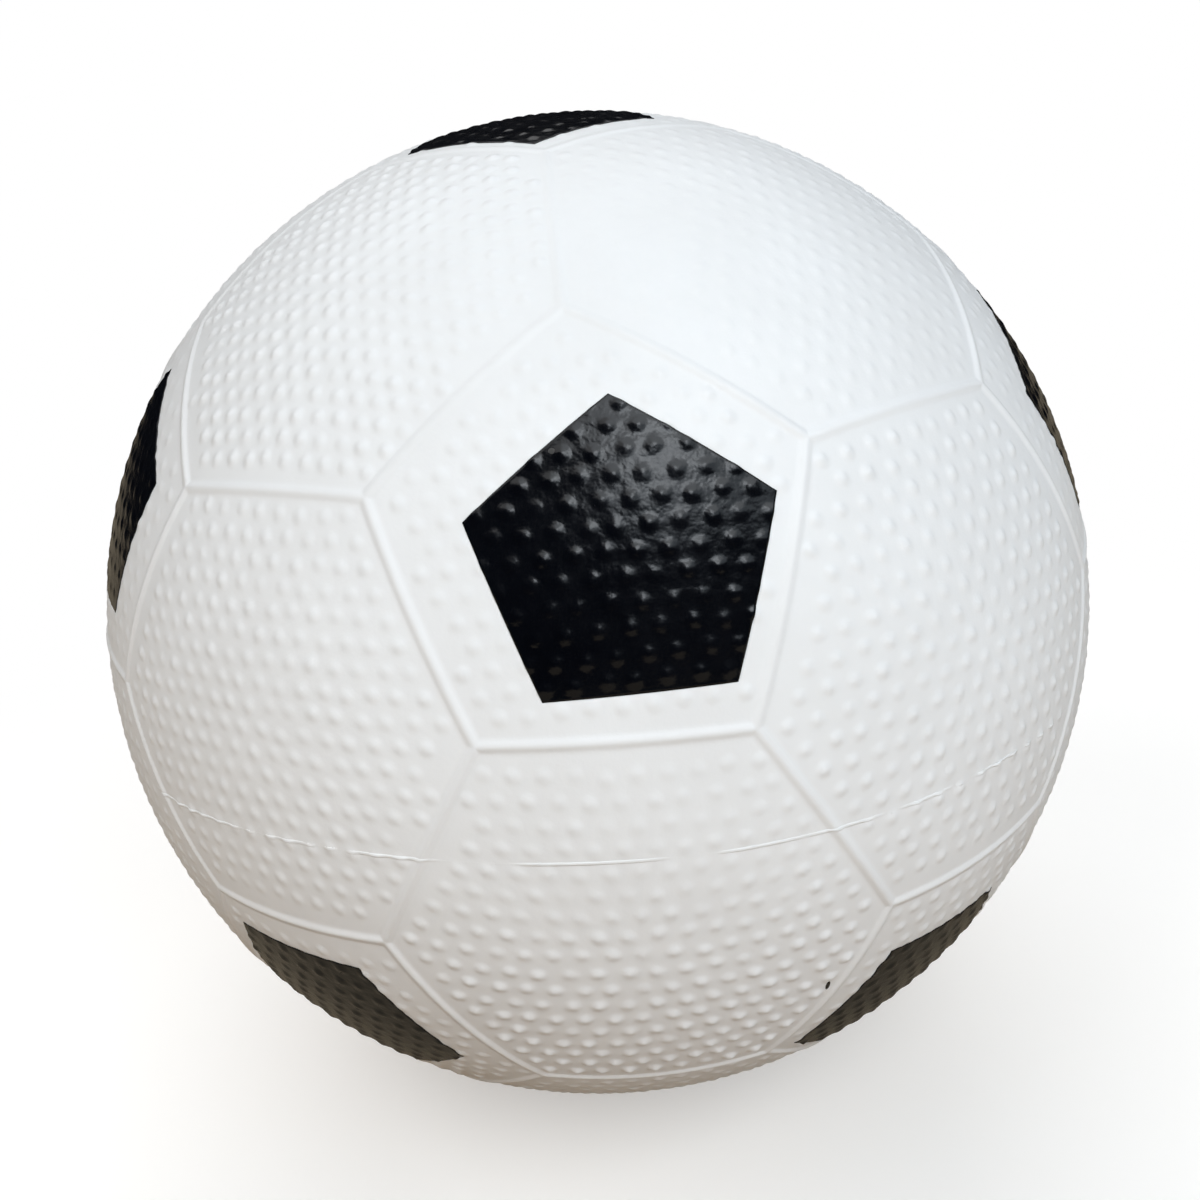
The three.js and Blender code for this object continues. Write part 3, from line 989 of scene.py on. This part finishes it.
@dataclass
class PartingLine:
    """The fine line of flash that the two halves of the mould left round the ball.

    Where it is shown, strong and set aside is given in degrees round the ball.
    """

    net: Net
    relief: Relief
    valve: Valve
    normal: tuple[float, float, float] = (0.0427, 0.0862, 0.9954)
    offset: float = -0.00996
    half_width: float = 0.00035
    rise: float = 0.0001
    sink: float = 0.12
    steps: int = 2400
    seed: int = 5
    wave_rates: tuple[int, ...] = (3, 7, 11, 19, 31)
    wave_mean: float = 0.55
    wave_depth: float = 0.25
    wave_least: float = 0.06
    faint: float = 0.16
    mark_edge: float = 1.5
    shown_first: tuple[float, float] = (110.0, 120.0)
    shown_last: tuple[float, float] = (225.0, 240.0)
    strong: tuple[tuple[float, float], ...] = (
        (126.0, 140.0), (146.0, 149.0), (155.0, 161.5), (170.0, 181.0), (187.5, 193.5), (195.0, 201.0), (205.0, 209.0),
        (214.0, 219.0),
    )
    wander: tuple[tuple[float, float], ...] = (
        (0.0, 0.0), (110.0, -0.0008), (130.0, -0.0010), (137.0, -0.0005), (150.0, 0.0003), (162.0, 0.0004),
        (188.0, -0.0003), (198.0, 0.0), (207.0, 0.0005), (220.0, 0.0015), (250.0, 0.0010), (360.0, 0.0),
    )

    def heights(self, directions: Array) -> Array:
        """Height of the relief under any direction, whichever panel it lies in."""
        heights = np.zeros(directions.shape[:-1])
        for panel in self.net.panels():
            inside = panel.inside_by(directions) >= 0.0
            heights[inside] = self.relief.height(panel, directions[inside], self.valve)
        return heights

    def strength(self, turn: Array) -> Array:
        """How far the flash stands up along its length.

        In front it stands in the stretches where the photograph shows it. Round the back a sum of slow waves, held
        between almost none and all, stands in for those.

        Args:
            turn: Angles round the ball.

        Returns:
            Shares of the full rise.
        """
        chance = np.random.default_rng(self.seed)
        rates = np.array(self.wave_rates)
        phases = chance.uniform(0.0, FULL_TURN, len(rates))
        waves = self.wave_mean + self.wave_depth * np.cos(turn[:, None] * rates + phases).sum(axis=1)
        waves = np.clip(waves, self.wave_least, 1.0)
        degrees = np.degrees(turn)
        start, end = np.array(self.strong).T
        inside = np.minimum(degrees[:, None] - start, end - degrees[:, None]).max(axis=1)
        marks = self.faint + (1.0 - self.faint) * smoothstep(-self.mark_edge, self.mark_edge, inside)
        first, last = self.shown_first, self.shown_last
        shown = smoothstep(*first, degrees) * (1.0 - smoothstep(*last, degrees))
        return waves * (1.0 - shown) + marks * shown

    def build(self) -> None:
        """Builds and dresses the flash: a low rounded profile carried round the circle where the mould parts.

        Where it fades it sinks into the skin.
        """
        normal = unit(np.array(self.normal))
        along = unit(np.cross(normal, (1.0, 0.0, 0.0)))
        across = np.cross(normal, along)
        turn = np.linspace(0.0, FULL_TURN, self.steps, endpoint=False)
        tilt = math.asin(self.offset / self.relief.radius)
        share = np.array((-1.0, -1.0, -0.5, 0.0, 0.5, 1.0, 1.0))
        crown = np.array((-1.0, 0.0, 0.75, 1.0, 0.75, 0.0, -1.0))
        aside = np.interp(np.degrees(turn), *np.array(self.wander).T)
        angle = (tilt + (aside[:, None] + share * self.half_width) / self.relief.radius)[..., None]
        ring = around(turn, along, across)
        directions = np.cos(angle) * ring[:, None, :] + np.sin(angle) * normal
        strength = self.strength(turn)[:, None]
        rise = np.where(crown < 0.0, crown, (crown + self.sink) * strength - self.sink) * self.rise
        mesh = Mesh()
        numbers = mesh.add_points(self.relief.place(directions, self.heights(directions) + rise))
        numbers = np.concatenate((numbers, numbers[:1]))
        mesh.add_grid(numbers)
        mesh.add_grid(np.stack((numbers[:, -1], numbers[:, 0]), axis=1), smooth=False)
        dress(mesh.build("parting_line"), WHITE_VINYL, Body.BALL, Slot.WHITE_VINYL)


def rounded(corners: list[tuple[float, float, float]], closed: bool, steps: int = 5) -> Array:
    """Rounds the corners of a profile.

    Each corner becomes the quadratic curve between the points its rounding's length before and after it.

    Args:
        corners: Radius, height and rounding of each corner.
        closed: Whether the last corner joins the first.
        steps: Steps along each rounding.

    Returns:
        Radius and height of the profile's points.
    """
    points, size = np.array(corners)[:, :2], np.array(corners)[:, 2]
    before, after = np.roll(points, 1, axis=0), np.roll(points, -1, axis=0)
    if not closed:
        before[0], after[-1] = points[0], points[-1]
    to_before, to_after = before - points, after - points
    start = points + to_before * (size / np.maximum(np.linalg.norm(to_before, axis=1), TINY))[:, None]
    end = points + to_after * (size / np.maximum(np.linalg.norm(to_after, axis=1), TINY))[:, None]
    t = np.linspace(0.0, 1.0, steps + 1)[None, :, None]
    curve = (1 - t) ** 2 * start[:, None] + 2 * t * (1 - t) * points[:, None] + t * t * end[:, None]
    sharp = size <= 0.0
    return np.concatenate([curve[i, :1] if sharp[i] else curve[i] for i in range(len(points))])


@dataclass
class ValveFittings:
    """The valve's vinyl neck and the rubber plug in it, both turned about the valve's axis."""

    valve: Valve
    relief: Relief
    turns: int = 96
    edge: float = 0.0003
    fine_edge: float = 0.0002
    flange_edge: float = 0.0004
    foot_edge: float = 0.0006
    head_edge: float = 0.0005
    tip_edge: float = 0.0011
    lip_radius: float = 0.0030
    lip_slope: float = 0.0002
    lip_height: float = 0.0003

    def turned(self, profile: Array, closed: bool) -> Mesh:
        """Turns a profile about the valve's axis.

        Args:
            profile: Radius and height of each point, going up the outside.
            closed: Whether the profile is a loop. Otherwise its ends are on the axis.

        Returns:
            The mesh.
        """
        axis, east, north = self.valve.axes()
        ring = around(np.linspace(0.0, FULL_TURN, self.turns, endpoint=False), east, north)
        middle = np.array((0.0, 0.0, self.relief.centre_height))
        mesh = Mesh()
        body = profile if closed else profile[1:-1]
        points = body[:, None, :1] * ring[None] + body[:, None, 1:] * axis + middle
        numbers = mesh.add_points(points)
        rows = np.concatenate((numbers, numbers[:1])) if closed else numbers
        mesh.add_grid(np.concatenate((rows, rows[:, :1]), axis=1)[::-1])
        if not closed:
            ends = mesh.add_points(profile[[0, -1], 1:] * axis + middle)
            mesh.add_fan(numbers[0][::-1], int(ends[0]))
            mesh.add_fan(numbers[-1], int(ends[1]))
        return mesh

    def neck(self) -> bpy.types.Object:
        """Builds the neck: a flanged tube with a wider mouth for the plug's head, its edges rounded.

        Returns:
            The piece.
        """
        v = self.valve
        foot = v.flange_top - v.flange_thickness
        corners = [
            (v.bore_radius, v.foot_height, self.edge), (v.neck_radius, v.foot_height, self.foot_edge),
            (v.neck_radius, foot, self.edge), (v.flange_radius, foot, self.flange_edge),
            (v.flange_radius, v.flange_top, self.flange_edge), (v.neck_radius, v.flange_top, self.fine_edge),
            (v.neck_radius, v.top_height, self.edge), (v.head_bore_radius, v.top_height, self.edge),
            (v.head_bore_radius, v.head_seat, self.edge), (v.bore_radius, v.head_seat, self.edge),
        ]
        return self.turned(rounded(corners, closed=True), closed=True).build("valve_neck")

    def plug(self) -> bpy.types.Object:
        """Builds the plug: a stem with a round tip, a flat head with a raised lip, and the needle's hole.

        Returns:
            The piece.
        """
        v = self.valve
        needle_foot = v.top_height - v.needle_depth
        mouth_foot = v.top_height - v.needle_mouth_depth
        dish = v.top_height - self.lip_height
        corners = [
            (0.0, v.stem_tip, 0.0), (v.stem_radius, v.stem_tip, self.tip_edge),
            (v.stem_radius, v.head_underside, self.edge), (v.head_radius, v.head_underside, self.edge),
            (v.head_radius, v.top_height, self.head_edge), (self.lip_radius, v.top_height, self.fine_edge),
            (self.lip_radius - self.lip_slope, dish, self.fine_edge),
            (v.needle_mouth_radius + self.edge, dish, self.edge),
            (v.needle_radius, mouth_foot, self.fine_edge), (v.needle_radius, needle_foot, 0.0),
            (0.0, needle_foot, 0.0),
        ]
        return self.turned(rounded(corners, closed=False), closed=False).build("valve_stopper")

    def build(self) -> None:
        """Builds and dresses both fittings."""
        dress(self.neck(), VALVE_VINYL, Body.BALL, Slot.VALVE_VINYL, "valve_housing")
        dress(self.plug(), VALVE_RUBBER, Body.PLUG, Slot.VALVE_RUBBER, "valve_plug")


@dataclass(frozen=True)
class Lamp:
    """A square soft lamp that faces the ball.

    Its azimuth is in degrees to the right of straight in front, its elevation in degrees above the ball's middle. It
    shows in gloss alone, or lights all but the gloss.
    """

    name: str
    azimuth: float
    elevation: float
    size: float
    power: float
    colour: Colour = WHITE
    gloss: bool = False


LAMPS = (
    Lamp("key", 23.0, 27.0, 1.2, 12.85, (0.95, 0.985, 1.0, 1.0)),
    Lamp("left", -68.0, 35.0, 1.2, 7.5, (1.0, 1.0, 0.985, 1.0)),
    Lamp("right", 62.0, 15.0, 1.2, 2.1, (0.55, 0.78, 1.0, 1.0)),
    Lamp("back", 180.0, 42.0, 1.2, 8.8),
    Lamp("rear", 150.0, 15.0, 1.2, 4.0),
    Lamp("gleam", 44.0, 55.0, 1.0, 3.2, (0.80, 0.91, 1.0, 1.0), gloss=True),
    Lamp("glint", 20.0, 47.0, 0.30, 1.05, (0.90, 0.95, 1.0, 1.0), gloss=True),
)


@dataclass
class Studio:
    """The pale floor, the dark boards, the lamps and the camera, whose eye is given in radii of the ball."""

    relief: Relief
    floor_size: float = 12.0
    floor_drop: float = 0.00005
    floor_colour: Colour = (0.80, 0.79, 0.78, 1.0)
    floor_bounce: Colour = (0.215, 0.10, 0.001, 1.0)
    floor_glow: float = 0.25
    white_from: float = 0.10
    white_to: float = 0.36
    board_inside: float = 0.03
    board_radius: float = 1.6
    board_height: float = 1.6
    board_rise: float = 1.3
    board_peak: float = math.radians(240.0)
    board_spread: float = 0.6
    board_lift: float = 0.001
    board_steps: int = 96
    wall_from: float = 0.01
    board_floor: Colour = (0.25, 0.21, 0.155, 1.0)
    board_wall: Colour = (0.015, 0.016, 0.02, 1.0)
    room_colour: Colour = (1.0, 0.90, 0.60, 1.0)
    room_strength: float = 0.02
    lamp_distance: float = 1.1
    lamp_up: tuple[float, float, float] = (0.0, 0.3, 1.0)
    eye: tuple[float, float, float] = (-0.0708, -2.5521, 1.0365)
    up: tuple[float, float, float] = (0.1204, 0.3707, 0.9209)
    lens: float = 37.8
    shift: tuple[float, float] = (0.0017, 0.0018)
    sensor: float = 36.0
    clip: tuple[float, float] = (0.01, 50.0)

    def seen(self, tree: ShaderTree) -> Value:
        """1 for the rays that show the background: the camera's, and those by way of gloss or glass."""
        path = tree.node("ShaderNodeLightPath")
        camera, gloss, glass = (path.out(f"Is {kind} Ray") for kind in ("Camera", "Glossy", "Transmission"))
        return tree.math("MAXIMUM", camera, tree.math("MAXIMUM", gloss, glass))

    def floor(self) -> None:
        """Builds the floor: plain and pale, with the ball's shadow near it and white further off."""
        half = self.floor_size / 2.0
        mesh = Mesh()
        square = np.array(((-half, -half), (half, -half), (-half, half), (half, half)))
        grid = np.concatenate((square, np.full((4, 1), -self.floor_drop)), axis=1).reshape(2, 2, 3)
        mesh.add_grid(mesh.add_points(grid).T)
        piece = mesh.build("floor")
        made = bpy.data.materials.new("pale_floor")
        tree = ShaderTree(made)
        off = tree.node("ShaderNodeVectorMath", {"operation": "LENGTH"}, {0: tree.objects()}).out("Value")
        sockets = {"Value": off, "From Min": self.white_from, "From Max": self.white_to}
        far = tree.node("ShaderNodeMapRange", {"interpolation_type": "SMOOTHSTEP"}, sockets).out()
        bounce = tree.node("ShaderNodeBsdfDiffuse", None, {"Color": self.floor_bounce})
        pale = tree.node("ShaderNodeBsdfDiffuse", None, {"Color": self.floor_colour})
        glow = tree.node("ShaderNodeEmission", None, {"Color": WHITE, "Strength": self.floor_glow})
        white = tree.node("ShaderNodeEmission", None, {"Color": WHITE, "Strength": 1.0})
        near = tree.node("ShaderNodeAddShader", None, {0: pale, 1: glow})
        shown = tree.node("ShaderNodeMixShader", None, {0: far, 1: near, 2: white})
        tree.surface(tree.node("ShaderNodeMixShader", None, {0: self.seen(tree), 1: bounce, 2: shown}))
        piece.data.materials.append(made)

    def boards(self) -> None:
        """Stands dark boards round the ball, out of the camera's sight, so that the ink has something dark to show.

        They lie on the floor from near the ball outwards, and end in a wall. Its height has a broad rise towards the
        front left, which falls off as exp(-(angle / spread)^2).
        """
        turn = np.linspace(0.0, FULL_TURN, self.board_steps + 1)
        from_peak = np.mod(turn - self.board_peak + math.pi, FULL_TURN) - math.pi
        top = self.board_height + self.board_rise * np.exp(-(from_peak / self.board_spread) ** 2)
        flat = np.full_like(top, self.board_lift)
        height = np.stack((flat, flat, top))
        reach = np.array((self.board_inside, self.board_radius, self.board_radius))[:, None]
        grid = np.stack((reach * np.cos(turn), reach * np.sin(turn), height), axis=-1)
        mesh = Mesh()
        mesh.add_grid(mesh.add_points(grid))
        piece = mesh.build("boards")
        made = bpy.data.materials.new("dark_board")
        tree = ShaderTree(made)
        up = tree.node("ShaderNodeSeparateXYZ", None, {"Vector": tree.objects()}).out("Z") > self.wall_from
        colour = tree.mix(up, self.board_floor, self.board_wall)
        tree.surface(tree.node("ShaderNodeBsdfDiffuse", None, {"Color": colour}))
        piece.data.materials.append(made)
        piece.visible_camera = piece.visible_diffuse = piece.visible_shadow = False

    def world(self) -> None:
        """Lights the room evenly, and shows it as white."""
        made = bpy.data.worlds.new("studio")
        bpy.context.scene.world = made
        tree = ShaderTree(made)
        room = tree.node("ShaderNodeBackground", None, {"Color": self.room_colour, "Strength": self.room_strength})
        white = tree.node("ShaderNodeBackground", None, {"Color": WHITE, "Strength": 1.0})
        tree.surface(tree.node("ShaderNodeMixShader", None, {0: self.seen(tree), 1: room, 2: white}))

    def lamp(self, lamp: Lamp) -> None:
        """Hangs a lamp.

        Args:
            lamp: Its place, size and light.
        """
        data = bpy.data.lights.new(lamp.name, "AREA")
        data.shape, data.size, data.energy, data.color = "SQUARE", lamp.size, lamp.power, lamp.colour[:3]
        made = link(lamp.name, data)
        made.visible_camera, made.visible_diffuse, made.visible_glossy = False, not lamp.gloss, lamp.gloss
        away = bearings(lamp.elevation, lamp.azimuth - 90.0)[0] * self.lamp_distance
        made.matrix_world = self.facing(away, self.lamp_up)

    def facing(self, away: Array, up: tuple[float, float, float]) -> Matrix:
        """The matrix that puts a camera or lamp at a place away from the ball's middle, looking at that.

        Args:
            away: The place, from the ball's middle.
            up: A direction that shows upwards.

        Returns:
            The matrix in the part's frame.
        """
        target = np.array((0.0, 0.0, self.relief.centre_height))
        place = target + away
        back = unit(place - target)
        right = unit(np.cross(up, back))
        turn = np.column_stack((right, np.cross(back, right), back, place))
        return Matrix(np.vstack((turn, (0.0, 0.0, 0.0, 1.0))).tolist())

    def camera(self) -> None:
        """Sets the camera where the photograph was taken from."""
        data = bpy.data.cameras.new("photograph")
        data.sensor_width, data.lens = self.sensor, self.lens
        data.shift_x, data.shift_y = self.shift
        data.clip_start, data.clip_end = self.clip
        made = link("photograph", data)
        made.matrix_world = self.facing(np.array(self.eye) * self.relief.radius, self.up)
        bpy.context.scene.camera = made

    def build(self) -> None:
        """Builds the studio."""
        bpy.context.scene.view_settings.view_transform = "Standard"
        self.camera()
        self.floor()
        self.world()
        self.boards()
        for lamp in LAMPS:
            self.lamp(lamp)


def main() -> None:
    """Builds the ball piece by piece, then the studio."""
    logging.basicConfig(level=logging.INFO, format="%(message)s")
    net, relief, valve = Net(), Relief(), Valve()
    Skin(net, relief, valve).build()
    Prints(net, relief, valve).build()
    PartingLine(net, relief, valve).build()
    ValveFittings(valve, relief).build()
    Studio(relief).build()


if __name__ == "__main__":
    main()
